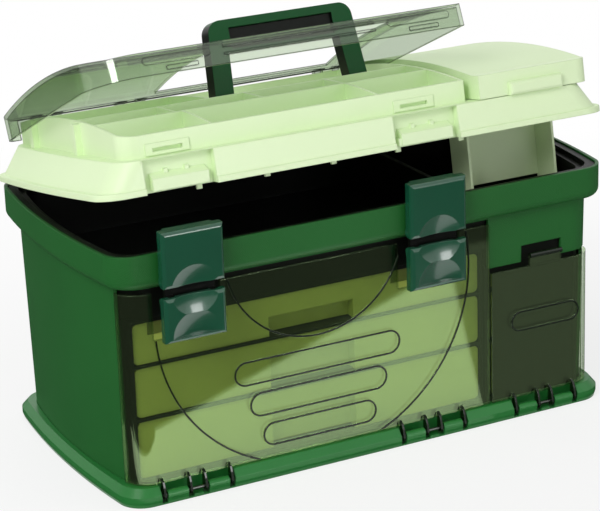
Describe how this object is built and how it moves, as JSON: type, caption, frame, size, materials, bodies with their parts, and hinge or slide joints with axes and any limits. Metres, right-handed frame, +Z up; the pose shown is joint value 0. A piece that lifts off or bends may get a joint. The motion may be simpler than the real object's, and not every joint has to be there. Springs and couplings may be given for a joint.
{
  "type": "tackle cabinet",
  "caption": "Portable tackle cabinet with drawers behind a clear drop-down door, a short side door, an open tub, and a tray lid under a clear cover.",
  "frame": {"origin": "middle of the plinth's flat underside", "axes": "+X along the front from left to right, +Y towards the lid's hinge, +Z up"},
  "size_m": [0.527, 0.3001, 0.4002],
  "materials": {
    "case_green": "fine grain",
    "plinth_green": "satin",
    "black_liner": "satin",
    "cream_plastic": "fine grain",
    "olive_plastic": "satin",
    "smoke_clear": "clear smoke tint",
    "latch_teal": "satin gloss",
    "handle_green": "satin",
    "pin_steel": "plain"
  },
  "bodies": {
    "cabinet": {"base_plinth": "plinth_green", "case_shell": "case_green", "tub_liner": "black_liner", "drawer_bay": "black_liner", "side_bin": "black_liner", "latch_bracket_left": "black_liner", "latch_bracket_right": "black_liner", "header_plate_left": "olive_plastic", "header_plate_right": "olive_plastic", "latch_pins": "pin_steel", "main_door_pins": "pin_steel", "side_door_pins": "pin_steel", "lid_hinge_pins": "pin_steel"},
    "lid": {"lid_tray": "cream_plastic", "lure_rack": "cream_plastic", "clear_cover_pins": "pin_steel", "side_cover_pins": "pin_steel", "handle_pins": "pin_steel"},
    "clear_cover": {"clear_cover": "smoke_clear"},
    "side_cover": {"side_cover": "cream_plastic"},
    "handle": {"carry_handle": "handle_green", "handle_panel": "black_liner"},
    "main_door": {"main_door": "smoke_clear"},
    "side_door": {"side_door": "smoke_clear"},
    "drawer_top": {"drawer_top": "olive_plastic", "drawer_top_dividers": "olive_plastic"},
    "drawer_middle": {"drawer_middle": "olive_plastic", "drawer_middle_dividers": "olive_plastic"},
    "drawer_bottom": {"drawer_bottom": "olive_plastic", "drawer_bottom_dividers": "olive_plastic"},
    "latch_upper_left": {"latch_upper_left": "latch_teal"},
    "latch_lower_left": {"latch_lower_left": "latch_teal"},
    "latch_upper_right": {"latch_upper_right": "latch_teal"},
    "latch_lower_right": {"latch_lower_right": "latch_teal"}
  },
  "joints": [
    {"name": "lid_hinge", "type": "hinge", "parent": "cabinet", "child": "lid", "pos_m": [0, 0.1435, 0.236], "axis": [-1, 0, 0], "range_deg": [-10.2, 75]},
    {"name": "clear_cover_hinge", "type": "hinge", "parent": "lid", "child": "clear_cover", "pos_m": [0, 0.13773, 0.28581], "axis": [-1, 0, 0], "range_deg": [-14.9, 80]},
    {"name": "side_cover_hinge", "type": "hinge", "parent": "lid", "child": "side_cover", "pos_m": [0, 0.13634, 0.27244], "axis": [-1, 0, 0], "range_deg": [0, 100]},
    {"name": "handle_pivot", "type": "hinge", "parent": "lid", "child": "handle", "pos_m": [0, 0.01696, 0.29789], "axis": [-1, 0, 0], "range_deg": [-30, 76]},
    {"name": "main_door_hinge", "type": "hinge", "parent": "cabinet", "child": "main_door", "pos_m": [0, -0.135, 0.008], "axis": [1, 0, 0], "range_deg": [0, 92]},
    {"name": "side_door_hinge", "type": "hinge", "parent": "cabinet", "child": "side_door", "pos_m": [0.184, -0.135, 0.008], "axis": [1, 0, 0], "range_deg": [0, 92]},
    {"name": "drawer_top_slide", "type": "slide", "parent": "cabinet", "child": "drawer_top", "axis": [0, -1, 0], "range_m": [0, 0.1735]},
    {"name": "drawer_middle_slide", "type": "slide", "parent": "cabinet", "child": "drawer_middle", "axis": [0, -1, 0], "range_m": [0, 0.135]},
    {"name": "drawer_bottom_slide", "type": "slide", "parent": "cabinet", "child": "drawer_bottom", "axis": [0, -1, 0], "range_m": [0, 0.0338]},
    {"name": "latch_upper_left_pivot", "type": "hinge", "parent": "cabinet", "child": "latch_upper_left", "pos_m": [-0.1845, -0.143, 0.2095], "axis": [1, 0, 0], "range_deg": [-5, 65]},
    {"name": "latch_lower_left_pivot", "type": "hinge", "parent": "cabinet", "child": "latch_lower_left", "pos_m": [-0.1845, -0.143, 0.1925], "axis": [-1, 0, 0], "range_deg": [-5, 65]},
    {"name": "latch_upper_right_pivot", "type": "hinge", "parent": "cabinet", "child": "latch_upper_right", "pos_m": [0.06, -0.143, 0.2095], "axis": [1, 0, 0], "range_deg": [-5, 65]},
    {"name": "latch_lower_right_pivot", "type": "hinge", "parent": "cabinet", "child": "latch_lower_right", "pos_m": [0.06, -0.143, 0.1925], "axis": [-1, 0, 0], "range_deg": [-5, 65]}
  ],
  "couplings": [
    {"joint": "drawer_top_slide", "follows": "main_door_hinge", "m_per_rad": 0.108},
    {"joint": "drawer_middle_slide", "follows": "main_door_hinge", "m_per_rad": 0.084},
    {"joint": "drawer_bottom_slide", "follows": "main_door_hinge", "m_per_rad": 0.021}
  ]
}
